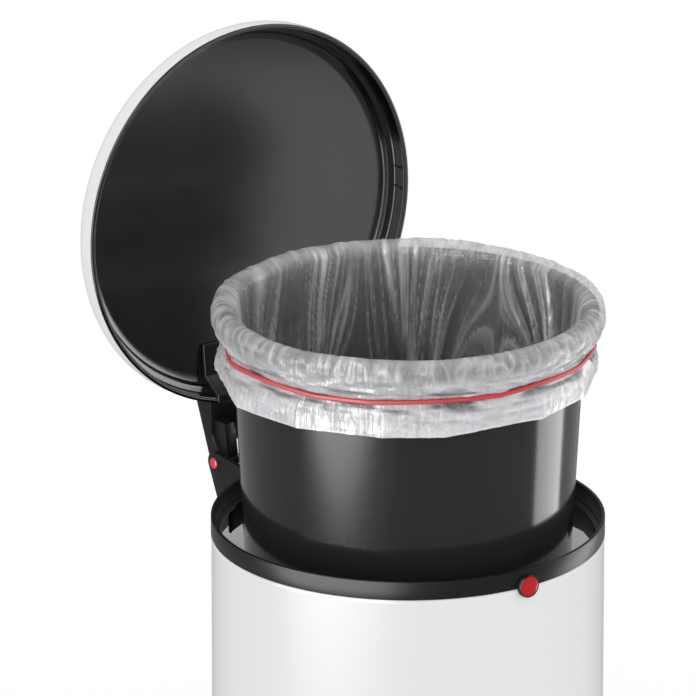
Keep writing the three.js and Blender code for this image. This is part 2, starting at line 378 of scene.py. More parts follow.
def addGrain(tree, shader, grainMm, height, roughness, spread):
    # fine grain in the surface: bump and a little change of gloss
    place = objectPlace(tree, 1 / (grainMm * mm))
    grain = addNode(tree, "ShaderNodeTexNoise", {"Scale": 1.0, "Detail": 3.0}, {"Vector": place.outputs[0]})
    bump = addNode(tree, "ShaderNodeBump", {"Strength": 0.5, "Distance": height * mm},
                   {"Height": grain.outputs["Fac"]})
    dull, bright = roughness + spread, roughness - spread
    gloss = addNode(tree, "ShaderNodeMapRange",
                    {"From Min": 0.3, "From Max": 0.7, "To Min": bright, "To Max": dull},
                    {"Value": grain.outputs["Fac"]})
    tree.links.new(bump.outputs[0], shader.inputs["Normal"])
    tree.links.new(gloss.outputs[0], shader.inputs["Roughness"])


def addShade(tree, shader, colourA, colourB, sizeMm):
    # slow change of colour across the piece
    place = objectPlace(tree, 1 / (sizeMm * mm))
    cloud = addNode(tree, "ShaderNodeTexNoise", {"Scale": 1.0, "Detail": 2.0}, {"Vector": place.outputs[0]})
    mix = addNode(tree, "ShaderNodeMix", {"data_type": "RGBA"}, {"Factor": cloud.outputs["Fac"]})
    for socket in mix.inputs:
        if socket.type == "RGBA":
            socket.default_value = linear(colourA if socket.name == "A" else colourB)
    colour = next(s for s in mix.outputs if s.type == "RGBA")
    tree.links.new(colour, shader.inputs["Base Color"])


def makeEnamel():
    # stoving enamel on steel: bright, semi-gloss, with faint orange peel about 2 mm across
    material, tree, shader = newMaterial("stovingEnamel", IOR=1.45)
    addShade(tree, shader, "#e5e6e7", "#e8e9e9", 260)
    addGrain(tree, shader, 2.0, 0.004, 0.2, 0.015)
    return material


def makeBackCoat():
    # thin grey primer on the back of the sheet steel
    material, tree, shader = newMaterial("greyPrimer", IOR=1.45)
    addShade(tree, shader, "#c4c5c6", "#bcbdbe", 120)
    addGrain(tree, shader, 1.2, 0.01, 0.5, 0.05)
    return material


def makeBlackPlastic(name, light, dark, ior, roughness, grainMm, height):
    # injection-moulded black: dull to silky from the tool's surface
    material, tree, shader = newMaterial(name, IOR=ior)
    addShade(tree, shader, light, dark, 90)
    addGrain(tree, shader, grainMm, height, roughness, 0.03)
    return material


def makeColoured(name, colour, dark, roughness):
    # self-coloured plastic, lacquer or elastic, with a slight unevenness about 14 mm across
    material, tree, shader = newMaterial(name, IOR=1.48)
    addShade(tree, shader, colour, dark, 14)
    addGrain(tree, shader, 0.8, 0.01, roughness, 0.04)
    return material


def makeMetal(name, colour, dark, roughness):
    # zinc-plated steel: soft spangle about 1.5 mm across
    material, tree, shader = newMaterial(name, Metallic=1.0)
    addShade(tree, shader, colour, dark, 9)
    addGrain(tree, shader, 1.5, 0.006, roughness, 0.06)
    return material


enamel = makeEnamel()
greyPrimer = makeBackCoat()
satinAbs = makeBlackPlastic("satinAbs", "#121515", "#151818", 1.36, 0.34, 0.7, 0.010)
linerAbs = makeBlackPlastic("polishedAbs", "#08090c", "#0a0b0e", 1.52, 0.17, 0.9, 0.003)
glossPolypropylene = makeBlackPlastic("glossPolypropylene", "#252525", "#282828", 1.4, 0.13, 1.4, 0.003)
softRubber = makeBlackPlastic("nitrileRubber", "#101011", "#18191a", 1.45, 0.7, 0.6, 0.03)
badgeRed = makeColoured("badgeLacquer", "#bd1724", "#b01320", 0.14)
capRed = makeColoured("redAcetal", "#e0424a", "#d8373f", 0.32)
elasticRed = makeColoured("redElastic", "#cf3a42", "#c23039", 0.5)
zinc = makeMetal("zincPlate", "#c9cbcd", "#b9bcbf", 0.28)
nylon = makeColoured("naturalNylon", "#d9d6cc", "#d1cec4", 0.45)
print("materials made")


# body

body = {"radius": 149.6, "wall": 1.2, "bead": 0.35, "slot": 10.5, "slotTop": 57}


def makeBody():
    low, high = boxMm("body_shell")
    radius, wall = body["radius"], body["wall"]
    top, foot = high[2], low[2]
    bead = radius + body["bead"]
    shell = turned("bodyShell", [
        (radius, foot), (radius, top - 4), (bead, top - 2.6), (bead, top - 0.9), (radius - 0.3, top),
        (radius - wall, top), (radius - wall, foot)])
    cutWith(shell, block("slotTool", (-body["slot"], 140, foot - 5), (body["slot"], 160, body["slotTop"])))
    smooth(shell, 40)
    finishPiece(shell, enamel, "bin", "white_enamel", "body_shell")
    shell.data.materials.append(greyPrimer)
    for face in shell.data.polygons:
        outward = Vector((face.center.x, face.center.y, 0)).normalized()
        if face.normal.dot(outward) < -0.5:
            face.material_index = 1
    return shell


def lightInside(shell):
    # the back of the sheet is seen past the bucket, so a small lamp on the axis reaches it and nothing else
    deselectAll()
    bpy.ops.object.light_add(type="POINT", location=(0, 0, studio["insideHeight"]))
    lamp = bpy.context.object
    lamp.name = "insideLamp"
    lamp.data.energy = studio["insideWatts"]
    lamp.data.use_shadow = False
    lamp.visible_camera = False
    lamp.visible_glossy = False
    lightOnly(lamp, shell)


bodyShell = makeBody()
lightInside(bodyShell)
lightNot(softboxRight, bodyShell)
print("body made")


# ring at the mouth of the body

ring = {
    "height": 14.2, "ledge": 13.3, "ledgeRadius": 142.9, "throat": 145.2, "skirtDepth": 28,
    "tabFrom": 34, "tabTo": 76, "tabDepth": 34, "tabInner": 143.7, "tabOuter": 145.7,
}


def ringOuter():
    return boxMm("top_ring")[1][0]


def makeRing():
    outer, top = ringOuter(), boxMm("top_ring")[1][2]
    lowest, ledge, foot = top - ring["height"], top - ring["ledge"], top - ring["skirtDepth"]
    lip, throat = ring["ledgeRadius"], ring["throat"]
    piece = turned("topRing", [
        (outer, lowest), (outer, top), (147.4, top), (147.0, ledge + 2.6), (146.0, ledge + 2.2),
        (146.0, ledge + 0.5), (lip, ledge), (lip, ledge - 2.5), (throat, ledge - 3.6), (throat, foot),
        (147.8, foot), (147.8, lowest)])
    roundEdges(piece, 0.35, 2, 25)
    tabInner, tabOuter, tabFoot = ring["tabInner"], ring["tabOuter"], top - ring["tabDepth"]
    start, end = ring["tabFrom"], ring["tabTo"]
    for side in (1, -1):
        tab = turned("ringTab", [
            (tabInner, tabFoot), (tabOuter, tabFoot), (tabOuter, ledge - 1), (tabInner, ledge - 1)],
            steps=24, angle=end - start)
        capEnds(tab)
        tab.rotation_euler.z = math.radians(90 + start if side == 1 else 90 - end)
        settle(tab)
        roundEdges(tab, 0.5, 2, 40)
        piece = merge("topRing", [piece, tab])
    smooth(piece)
    return finishPiece(piece, satinAbs, "bin", "black_plastic", "top_ring")


def capEnds(piece):
    # open ends of a part turn are filled
    pick(piece)
    bpy.ops.object.mode_set(mode="EDIT")
    bpy.ops.mesh.select_all(action="DESELECT")
    bpy.ops.mesh.select_non_manifold(extend=False)
    bpy.ops.mesh.edge_face_add()
    bpy.ops.object.mode_set(mode="OBJECT")
    return tidyMesh(piece)


makeRing()
print("ring made")


# badge without lettering

badge = {"thick": 4.4, "faceRadius": 7.95, "seat": 8.15, "seatDepth": 3.2}


def makeBadge():
    low, high = boxMm("badge_bezel")
    z = (low[2] + high[2]) / 2
    front, radius = low[1], (high[0] - low[0]) / 2
    thick, seat, depth, faceRadius = badge["thick"], badge["seat"], badge["seatDepth"], badge["faceRadius"]
    bezel = turned("badgeBezel", [
        (radius, 0), (radius, thick - 1), (radius - 0.4, thick), (seat, thick), (seat, depth),
        (0, depth), (0, 0)],
        steps=96, close=False)
    roundEdges(bezel, 0.22, 3, 30)
    face = turned("badgeFace", [
        (0, 3.35), (faceRadius, 3.35), (faceRadius, 3.9), (7.3, 4.3), (3.5, 4.55), (0, 4.6)],
        steps=96, close=False)
    for piece in (bezel, face):
        piece.rotation_euler.x = math.radians(90)
        piece.location = (0, (front + thick) * mm, z * mm)
        settle(piece)
        smooth(piece, 35)
    drum = rod("drum", ringOuter() + 0.05, (0, 0, z - 30), (0, 0, z + 30), 256)
    cutWith(bezel, drum)
    finishPiece(bezel, satinAbs, "bin", "black_plastic", "badge_bezel")
    finishPiece(face, badgeRed, "bin", "red_plastic", "badge_face")


makeBadge()
print("badge made")


# hinge on the body side: bracket, pin and caps

hinge = {
    "ear": (40.5, 44.0), "eyeRadius": 8.7, "foot": 70, "webs": (-22, 22), "pinRadius": 3.0, "pinHalf": 43.9,
    "capOut": 44.3,
}


def hingePlace():
    (_, y, z), travel = jointPlace("lid_hinge")
    return y, z, travel[1]


def makeBracket():
    y, z, _ = hingePlace()
    top = boxMm("top_ring")[1][2]
    foot = top - hinge["foot"]
    inner, outer = hinge["ear"]
    earOutline = [(136, foot), (175.3, foot), (188, top - 33), (199.2, top - 9)]
    earOutline += bow(y, z, hinge["eyeRadius"], -12, 97, 18)
    earOutline += [(158, top + 0.5), (136, top + 0.5)]
    wallOutline = [(172.3, foot), (175.3, foot), (188, top - 33), (193.2, top - 22), (190.2, top - 21),
                   (185, top - 33)]
    bracket = plate("hingeBracket", earOutline, -outer, -inner)
    joinWith(bracket, plate("ear", earOutline, inner, outer))
    joinWith(bracket, block("back", (-inner - 1, 138, foot), (inner + 1, 154, top - 17)))
    joinWith(bracket, plate("rearWall", wallOutline, -inner - 1, inner + 1))
    web = [(152, foot + 6), (173, foot + 6), (180, top - 52), (152, top - 40)]
    for x in hinge["webs"]:
        joinWith(bracket, plate("web", web, x - 1, x + 1))
    cutWith(bracket, rod("drum", ringOuter() + 0.25, (0, 0, foot - 20), (0, 0, top + 20), 256))
    roundEdges(bracket, 0.7, 3, 35)
    smooth(bracket, 38)
    finishPiece(bracket, satinAbs, "bin", "black_plastic", "hinge_bracket")
    pin = rod("hingePin", hinge["pinRadius"], (-hinge["pinHalf"], y, z), (hinge["pinHalf"], y, z), 48)
    roundEdges(pin, 0.5, 2, 60)
    smooth(pin)
    finishPiece(pin, zinc, "bin", "steel", "hinge_pin")
    dome = [(0, 0), (4.25, 0), (4.25, 0.8), (3.7, 1.35), (1.9, 1.65), (0, 1.7)]
    for name, node, side in (("pinCapLeft", "pin_cap_left", -1), ("pinCapRight", "pin_cap_right", 1)):
        cap = turned(name, dome, steps=64, close=False)
        cap.rotation_euler.y = math.radians(90 * side)
        cap.location = (hinge["capOut"] * side * mm, y * mm, z * mm)
        settle(cap)
        smooth(cap, 40)
        finishPiece(cap, capRed, "bin", "red_plastic", node)


makeBracket()
print("bracket made")


# lid: drawn closed over the body's axis, then swung open about the pin

lid = {
    "radius": 150.3, "height": 24.6, "corner": 14, "wall": 1.2, "crown": 1.4, "recess": 21.8,
    "aboveRing": 1.9, "slitOffsets": (-3, 3),
}


def openLid(piece):
    y, z, angle = hingePlace()
    return turnedAbout(piece, y, z, -angle)


def rimHeight():
    return boxMm("top_ring")[1][2] + lid["aboveRing"]


def makeLid():
    rim = rimHeight()
    radius, corner, wall = lid["radius"], lid["corner"], lid["wall"]
    centreR, centreZ = radius - corner, rim + lid["height"] - corner
    crown = rim + lid["height"] + lid["crown"]
    outline = [(0, crown - wall), (70, crown - wall - 0.45)]
    outline += bow(centreR, centreZ, corner - wall, 90, 0, 10)
    outline += [(radius - wall, rim + 1.8), (radius, rim + 1.8)]
    outline += bow(centreR, centreZ, corner, 0, 90, 14)
    outline += [(100, crown - 0.75), (70, crown - 0.4), (35, crown - 0.1), (0, crown)]
    shell = turned("lidShell", outline, close=False)
    roundEdges(shell, 0.3, 2, 50)
    smooth(shell, 40)
    openLid(shell)
    finishPiece(shell, enamel, "lid", "white_enamel", "lid_shell")

    depth = rim + lid["recess"]
    liner = turned("lidLiner", [
        (0, depth), (133.2, depth), (138.6, rim + 19.9), (140.2, rim + 18.2), (141.4, rim + 14.6),
        (145.0, rim + 13.2), (146.2, rim + 11.8), (146.3, rim + 1.2), (147.0, rim + 0.5), (147.9, rim + 0.5),
        (148.2, rim), (150.0, rim), (radius, rim + 0.4), (radius, rim + 1.5), (147.6, rim + 1.5),
        (147.5, rim + 12.6), (142.6, rim + 15.2), (140.9, rim + 19.2), (133, depth + 1.1), (0, depth + 1.1)],
        close=False)
    roundEdges(liner, 0.35, 2, 24)
    for side in (0, 180):
        for offset in lid["slitOffsets"]:
            slit = block("slit", (140, -0.45, rim + 2.4), (149, 0.45, rim + 12.0))
            slit.rotation_euler.z = math.radians(side + offset)
            cutWith(liner, settle(slit))
    smooth(liner, 32)
    openLid(liner)
    finishPiece(liner, linerAbs, "lid", "black_plastic", "lid_liner")
    lightOnly(linerPanel, liner)


makeLid()
print("lid made")


# arm between lid and pin, with its clamp plate

arm = {
    "cheek": (26.5, 39.5), "skin": 3.2, "eye": 8.0, "bore": 3.25, "lobe": (-16.8, -17.1), "lobeRadius": 5.0,
    "lobeHalf": 6, "lidGap": 0.25, "saddleHalf": 34, "saddleReach": 149.9, "screws": (-14, 14),
    "screwY": -76.5, "counterbore": 4.2,
}


def makeArm():
    y, z, _ = hingePlace()
    inner, outer = arm["cheek"]

    def beside(points):
        return [(y + a, z + b) for a, b in points]

    wedge = beside([(-58, 9.8)] + bow(-22, 5.8, 4, 90, 40, 4) + [(-7.5, -1), (7, 2), (2, 11.6), (-58, 35)])
    rib = beside([(-31, -3.5), (-6, -7), (6, -5), (7, 5), (-24, 13), (-31, 13)])
    piece = None
    for side in (-1, 1):
        skin = sorted((side * outer, side * (outer - arm["skin"])))
        full = sorted((side * outer, side * inner))
        ribSide = sorted((side * (outer - arm["skin"]), side * inner))
        parts = [plate("cheek", wedge, *skin), plate("rib", rib, *ribSide),
                 rod("eye", arm["eye"], (full[0], y, z), (full[1], y, z), 64)]
        for part in parts:
            piece = joinWith(piece, part) if piece else part
    web = beside([(-58, 11), (-34, 11), (-12, 12), (-9, 15), (-12, 19), (-34, 25), (-58, 33)])
    lobeY, lobeZ = y + arm["lobe"][0], z + arm["lobe"][1]
    half = arm["lobeHalf"]
    lobePlate = beside([(-38, 13), (-21.5, -17), (-15, -18.8), (1.8, -1.8), (7, 4), (-32, 20)])
    joinWith(piece, plate("web", web, 1 - outer, outer - 1))
    joinWith(piece, plate("lobePlate", lobePlate, -half, half))
    joinWith(piece, rod("eye", arm["eye"], (-half, y, z), (half, y, z), 64))
    joinWith(piece, rod("lobe", arm["lobeRadius"], (-half, lobeY, lobeZ), (half, lobeY, lobeZ), 48))
    piece.name = "lidArm"
    makeSaddle(beside)
    gap = arm["lidGap"]
    rim, radius, corner = rimHeight(), lid["radius"] + gap, lid["corner"] + gap
    form = [(0, rim - 5), (radius, rim - 5)]
    form += bow(radius - corner, rim + lid["height"] + gap - corner, corner, 0, 90, 12)
    form += [(0, rim + lid["height"] + 1.7)]
    cutWith(piece, turned("lidForm", form, close=False))
    cutWith(piece, rod("bore", arm["bore"], (-60, y, z), (60, y, z), 48))
    roundEdges(piece, 0.6, 3, 35)
    smooth(piece, 38)
    openLid(piece)
    finishPiece(piece, satinAbs, "lid", "black_plastic", "lid_arm")


def makeSaddle(beside):
    # the block inside the lid that the arm is screwed to; it runs from the lining down over the rim
    half = arm["saddleHalf"]
    side = beside([(-87, 29.4), (-87, 27.4), (-84.5, 26.4), (-62, 24.4), (-53, 12), (-50.5, 7.6),
                   (-42, 7.2), (-36, 7.2), (-36, 29.4)])
    saddle = plate("lidSaddle", side, -half, half)
    roundEdges(saddle, 1.6, 4, 40)
    reach = rod("saddleReach", arm["saddleReach"], (0, 0, 500), (0, 0, 700), 256)
    addModifier(saddle, "BOOLEAN", object=reach, operation="INTERSECT", solver="EXACT")
    bpy.data.objects.remove(reach)
    y, z, _ = hingePlace()
    screwY = y + arm["screwY"]
    for x in arm["screws"]:
        cutWith(saddle, rod("counterbore", arm["counterbore"], (x, screwY, z), (x, screwY, z + 28.4), 32))
    smooth(saddle, 38)
    openLid(saddle)
    finishPiece(saddle, satinAbs, "lid", "black_plastic", "lid_clamp_plate")


makeArm()
print("arm made")


# bucket

bucket = {
    "topRadius": 134.7, "bottomRadius": 108.8, "wall": 2.2, "flange": 144.6, "flangeThick": 2.8,
    "floor": 2.8, "dimple": 1.2,
}


def makeBucket():
    low, high = boxMm("bucket")
    foot, top = low[2], high[2]
    wall, under, floor = bucket["wall"], top - bucket["flangeThick"], foot + bucket["floor"]
    topR, bottomR, flange = bucket["topRadius"], bucket["bottomRadius"], bucket["flange"]
    outline = [(0, foot + 1.5), (70, foot + 1.5), (78, foot)]
    outline += bow(bottomR - 6, foot + 6, 6, -90, 0, 6)
    outline += [(topR, under), (flange, under), (flange, top), (topR - wall, top)]
    outline += bow(bottomR - wall - 4, floor + 4, 4, 0, -90, 5)
    outline += [(70, floor), (64, floor + bucket["dimple"]), (0, floor + bucket["dimple"])]
    piece = turned("bucketTub", outline, close=False)
    roundEdges(piece, 0.6, 3, 30)
    smooth(piece, 35)
    return finishPiece(piece, glossPolypropylene, "tub", "gloss_black_plastic", "bucket")


makeBucket()
print("bucket made")


# bag of thin film: lines the bucket, rolls over the flange, is held by the band and hangs to a free hem

bag = {
    "columns": 800, "rows": 122,
    "waist": 140.2, "bandDrop": 26, "hemDrop": 52, "hemRadius": 146.4, "lipRadius": 131.5,
    "limit": 149.7, "skirtLimit": 148.1, "rimDepth": 12,
    "pleatDepth": 6.5, "lean": 7.5, "creaseMm": 5.0,
    "hemCorners": 13, "waistCorners": 11,
    "liningHaze": 0.06, "rimHaze": 0.38, "skirtHaze": 0.66, "gapHaze": 0.60,
}


def makeCorners(count, seed):
    # uneven corners round a circle, where film or band runs straight from one to the next
    draw = random.Random(seed)
    return [2 * math.pi * (k + draw.uniform(-0.3, 0.3)) / count for k in range(count)]


hemCorners = makeCorners(bag["hemCorners"], 4)
waistCorners = makeCorners(bag["waistCorners"], 9)


def straightened(a, corners):
    # share of the radius left on the straight run between two corners
    a = (a - corners[0]) % (2 * math.pi) + corners[0]
    after = next((c for c in corners if c > a), corners[0] + 2 * math.pi)
    before = max(c for c in corners if c <= a)
    return math.cos((after - before) / 2) / math.cos(a - (after + before) / 2)


def waistRadius(a):
    return bag["waist"] * (0.55 + 0.45 * straightened(a, waistCorners))


def waistRise(a):
    return 1.3 * noise.noise(Vector((math.cos(a) * 1.6, math.sin(a) * 1.6, 5.0))) - 0.8 * math.cos(a - 2.5)


def bagPath():
    low, high = boxMm("bucket")
    top, floorTop = high[2], low[2] + bucket["floor"] + 2
    wallTop = bucket["topRadius"] - bucket["wall"] - 1.4
    wallFoot = bucket["bottomRadius"] - bucket["wall"] - 2.0
    slope = (wallTop - wallFoot) / (top - floorTop)
    path = [(0.01, floorTop + 2.5), (40, floorTop + 2.2), (80, floorTop + 1.8),
            (wallFoot - 9, floorTop + 2.0), (wallFoot - 2, floorTop + 7)]
    for drop in (430, 360, 290, 220, 170, 130, 100, 75, 55, 38, 24, 14, 7):
        path.append((wallTop - slope * drop, top - drop))
    path += [(131.3, top - 2.6), (132.4, top + 1.6), (135.4, top + 5.0), (139.4, top + 7.2),
             (143.3, top + 6.8), (146.8, top + 3.6), (148.8, top - 1.2), (149.0, top - 6.8),
             (147.4, top - 12.4), (145.0, top - 18), (141.9, top - 23.4)]
    path += [(bag["waist"], top - bag["bandDrop"]), (141.6, top - 28.8), (144.2, top - 34), (146.0, top - 42),
             (bag["hemRadius"], top - bag["hemDrop"])]
    return path


def spline(points, count, weight):
    # points along a smooth run through the given ones, closer together where the weight is high
    lengths = [0.0]
    for (ra, za), (rb, zb) in zip(points, points[1:]):
        lengths.append(lengths[-1] + math.hypot(rb - ra, zb - za) * weight(za))
    total, result, k = lengths[-1], [], 0
    for i in range(count):
        want = total * i / (count - 1)
        while k < len(points) - 2 and lengths[k + 1] < want:
            k += 1
        t = (want - lengths[k]) / (lengths[k + 1] - lengths[k])
        near = [points[max(0, min(len(points) - 1, k + j))] for j in (-1, 0, 1, 2)]
        result.append(tuple(throughFour(t, *values) for values in zip(*near)))
    return result


def throughFour(t, a, b, c, d):
    # from b at t = 0 to c at t = 1, with a and d giving the direction
    square, cube = 2 * a - 5 * b + 4 * c - d, 3 * b - a - 3 * c + d
    return 0.5 * (2 * b + (c - a) * t + square * t * t + cube * t ** 3)


def crest(x, y, z, sharp=3):
    # narrow crests with wide flat hollows, as in creased film
    return max(1 - abs(noise.noise(Vector((x, y, z)))) * 2.2, 0) ** sharp


def clamp(value, low=0.0, high=1.0):
    return max(low, min(high, value))


def liningFold(a, r, z, drop):
    # the lining hangs in fans of pleats from the rim; gives its step inwards and how dense it looks: denser
    # towards the rim, and denser along the pleat crests as painted highlight
    lean = bag["lean"] * drop * mm * noise.noise(Vector((math.cos(a) * 1.7, math.sin(a) * 1.7, 4.0)))
    x, y = math.cos(a + lean), math.sin(a + lean)
    broad = crest(x * 5, y * 5, z * 0.003 + 3)
    fine = crest(x * 14, y * 14, z * 0.004 + 9, 5)
    thread = crest(x * 27, y * 27, z * 0.004 + 21, 5)
    hollow = noise.noise(Vector((x * 3, y * 3, z * 0.008))) * 0.5 + 0.5
    crumple = crest(x * 19, y * 19, z * 0.03, 5) * clamp(noise.noise(Vector((x * 2, y * 2, 8.0))) * 3)
    hang = 0.25 + 0.75 * clamp((drop - 4) / 60)
    fade = min(r / 60, 1)
    folds = bag["pleatDepth"] * broad + 2.4 * fine + 0.7 * thread + 3.0 * hollow + 0.8 * crumple
    rimHaze = 0.16 * math.exp(-drop / 14) + 0.08 * math.exp(-drop / 60)
    # the denser streaks along the pleat crests are painted highlight
    sheenPatches = clamp(noise.noise(Vector((x * 4, y * 4, z * 0.006))) * 2.0 + 0.72)
    crestSheen = (0.26 * broad + 0.62 * fine + 0.60 * thread) * sheenPatches + 0.06 * crumple
    hazeAndSheen = bag["liningHaze"] + rimHaze + crestSheen * (0.35 + 0.65 * math.exp(-drop / 110))
    return -folds * hang * fade, hazeAndSheen


def skirtFold(a, drop):
    # over the rim, in to the band and out again to the hem
    cx, cy = math.cos(a), math.sin(a)
    swell = noise.noise(Vector((cx * 2.3, cy * 2.3, 1.0)))
    wrinkle = noise.noise(Vector((cx * 24, cy * 24, drop * 0.05)))
    slant = drop * 0.15 + 1.7 * math.sin(2 * a + 1) + 0.8 * math.sin(5 * a)
    drag = crest(cx * 3.4, cy * 3.4, slant * 1.2)
    drape = crest(cx * 6.5, cy * 6.5, slant * 0.9 + 5, 4)
    strand = crest(cx * 2.6, cy * 2.6, drop * 0.3 + 0.6 * math.sin(3 * a), 4)
    gap = clamp(noise.noise(Vector((cx * 4, cy * 4, drop * 0.24 + 30))) * 4.0 - 0.15)
    nearBand = math.exp(-((drop - bag["bandDrop"]) / 10.0) ** 2)
    pinch = math.exp(-((drop - bag["bandDrop"]) / 3.5) ** 2)
    below = clamp((drop - bag["bandDrop"]) / (bag["hemDrop"] - bag["bandDrop"]))
    onRim = clamp((14 - drop) / 12)
    roll = crest(cx * 13, cy * 13, drop * 0.05 + 12, 4)
    out = onRim * (1.2 * swell + 0.6 * roll + 0.35 * wrinkle)
    free = (1 - onRim) * (1 - 0.85 * pinch) * (1 - 0.5 * below)
    out += free * (1.5 * drag + 1.1 * drape + 0.9 * strand - 1.3)
    hem = (bag["hemRadius"] * (straightened(a, hemCorners) - 1) + 2.2 * math.cos(a - 2.5)) * below
    waist = (waistRadius(a) - bag["waist"]) * math.exp(-((drop - bag["bandDrop"]) / 8.0) ** 2)
    rise = onRim * (1.5 * swell + 0.4 * roll + 0.5 * wrinkle) + waistRise(a) * clamp((drop - 14) / 12)
    # the skirt and the roll over the rim are made denser along their fold crests: painted highlight on the
    # folds, over the film's own milkiness
    lower = bag["skirtHaze"] + 0.14 * drag + 0.10 * drape + 0.16 * strand + 0.14 * below
    upper = bag["rimHaze"] + 0.26 * roll + 0.14 * wrinkle
    hazeAndSheen = upper * onRim + lower * (1 - onRim) - bag["gapHaze"] * gap * nearBand - 0.05 * gap
    if drop > bag["hemDrop"] - 1.2:
        # the free edge is made fully dense: a painted highlight for the bright line of film seen edge on
        hazeAndSheen = 1.0
    return out + hem + waist, rise, hazeAndSheen


def makeBag():
    top = boxMm("bucket")[1][2]

    def rowShare(z):
        # few rows deep in the bucket, most in the rim and the skirt
        return 0.16 if z < top - 150 else 1.0 if z < top - 60 else 2.2

    rows = spline(bagPath(), bag["rows"], rowShare)
    crestRow = max(range(len(rows)), key=lambda i: rows[i][1])
    columns = bag["columns"]
    builder = bmesh.new()
    layer = builder.loops.layers.uv.new("film")
    hazeAndSheenValues, places, grid = [], [], []
    length = 0.0
    turn = 2 * math.pi * bag["waist"] * mm
    for i, (r, z) in enumerate(rows):
        if i:
            length += math.hypot(r - rows[i - 1][0], z - rows[i - 1][1])
        drop = top - z
        # share of the skirt's folds: none in the lining, all from the crest of the rim on
        share = clamp((r - bag["lipRadius"]) / 9) if i < crestRow else 1
        limit = bag["limit"] if drop < bag["rimDepth"] else bag["skirtLimit"]
        line = []
        for j in range(columns):
            a = 2 * math.pi * j / columns
            inner, innerHazeAndSheen = liningFold(a, r, z, max(drop, 0)) if share < 1 else (0, 0)
            outer, rise, outerHazeAndSheen = skirtFold(a, drop) if share > 0 else (0, 0, 0)
            out = min(inner + (outer - inner) * share, limit - r)
            rise *= share
            hazeAndSheen = innerHazeAndSheen + (outerHazeAndSheen - innerHazeAndSheen) * share
            rr = max(r + out, 0.01)
            line.append(builder.verts.new((rr * math.cos(a) * mm, rr * math.sin(a) * mm, (z + rise) * mm)))
            places.append((turn * j / columns, length * mm))
            hazeAndSheenValues.append(clamp(hazeAndSheen))
        grid.append(line)
    builder.verts.index_update()
    for lower, upper in zip(grid, grid[1:]):
        for j in range(columns):
            k = (j + 1) % columns
            face = builder.faces.new((lower[j], lower[k], upper[k], upper[j]))
            for loop, far in zip(face.loops, (False, True, True, False)):
                u, v = places[loop.vert.index]
                loop[layer].uv = (u + turn if far and k == 0 else u, v)
    mesh = bpy.data.meshes.new("binBagFilm")
    builder.to_mesh(mesh)
    builder.free()
    # the attribute carries the film's milkiness and its painted highlights into the alpha
    attribute = mesh.attributes.new("filmHazeAndSheen", "FLOAT", "POINT")
    attribute.data.foreach_set("value", hazeAndSheenValues)
    piece = bpy.data.objects.new("binBagFilm", mesh)
    bpy.context.scene.collection.objects.link(piece)
    smooth(piece, 60)
    finishPiece(piece, makeFilm(), "tub", "bag_film", "bin_bag")
    return piece


def makeFilm():
    # blown polyethylene film 15 microns thick: milky, glossy, white where it is doubled; the crease lines are
    # white partly from creasing and partly as painted glints, and the fold crests carry painted highlight
    # from the mesh attribute
    material, tree, shader = newMaterial("polyethyleneFilm", IOR=1.5, Roughness=0.2)
    shader.inputs["Base Color"].default_value = linear("#dcdde0")
    shader.inputs["Specular IOR Level"].default_value = 0.75
    coords = addNode(tree, "ShaderNodeTexCoord")
    creaseMap = addNode(tree, "ShaderNodeMapping", {"Scale": (1 / (bag["creaseMm"] * mm), 26, 1)},
                        {"Vector": coords.outputs["UV"]})
    crease = addNode(tree, "ShaderNodeTexNoise",
                     {"Scale": 1.0, "Detail": 5.0, "Roughness": 0.62, "Distortion": 0.8},
                     {"Vector": creaseMap.outputs[0]})
    centred = addNode(tree, "ShaderNodeMath", {"operation": "SUBTRACT"}, {0: crease.outputs["Fac"]})
    centred.inputs[1].default_value = 0.5
    offset = addNode(tree, "ShaderNodeMath", {"operation": "ABSOLUTE"}, {0: centred.outputs[0]})
    sharp = addNode(tree, "ShaderNodeMapRange", {"From Max": 0.035, "To Min": 1.0, "To Max": 0.0},
                    {"Value": offset.outputs[0]})
    crumpleMap = addNode(tree, "ShaderNodeMapping", {"Scale": (55, 85, 1)},
                         {"Vector": coords.outputs["UV"]})
    crumple = addNode(tree, "ShaderNodeTexNoise",
                      {"Scale": 1.0, "Detail": 6.0, "Roughness": 0.6, "Distortion": 1.2},
                      {"Vector": crumpleMap.outputs[0]})
    hazeAndSheen = addNode(tree, "ShaderNodeAttribute", {"attribute_name": "filmHazeAndSheen"})
    # the thin crease lines are made denser: partly the whitening of creased film, partly painted glints
    creaseWhiteAndGlints = addNode(tree, "ShaderNodeMath", {"operation": "MULTIPLY"},
                    {0: sharp.outputs[0], 1: crumple.outputs["Fac"]})
    hazeCreasesAndGlints = addNode(tree, "ShaderNodeMath", {"operation": "MULTIPLY_ADD"},
                       {0: creaseWhiteAndGlints.outputs[0], 2: hazeAndSheen.outputs["Fac"]})
    hazeCreasesAndGlints.inputs[1].default_value = 0.26
    alphaWithSheen = addNode(tree, "ShaderNodeMath", {"operation": "MULTIPLY_ADD", "use_clamp": True},
                     {0: crumple.outputs["Fac"], 2: hazeCreasesAndGlints.outputs[0]})
    alphaWithSheen.inputs[1].default_value = 0.07
    tree.links.new(alphaWithSheen.outputs[0], shader.inputs["Alpha"])
    height = addNode(tree, "ShaderNodeMath", {"operation": "MULTIPLY_ADD"},
                     {0: sharp.outputs[0], 2: crumple.outputs["Fac"]})
    height.inputs[1].default_value = 0.35
    bump = addNode(tree, "ShaderNodeBump", {"Strength": 0.9, "Distance": 1.0 * mm},
                   {"Height": height.outputs[0]})
    tree.links.new(bump.outputs[0], shader.inputs["Normal"])
    return material


makeBag()
print("bag made")


# red elastic band round the waist of the bag

band = {"thick": 1.75, "clear": 1.3, "segments": 320, "sides": 14}


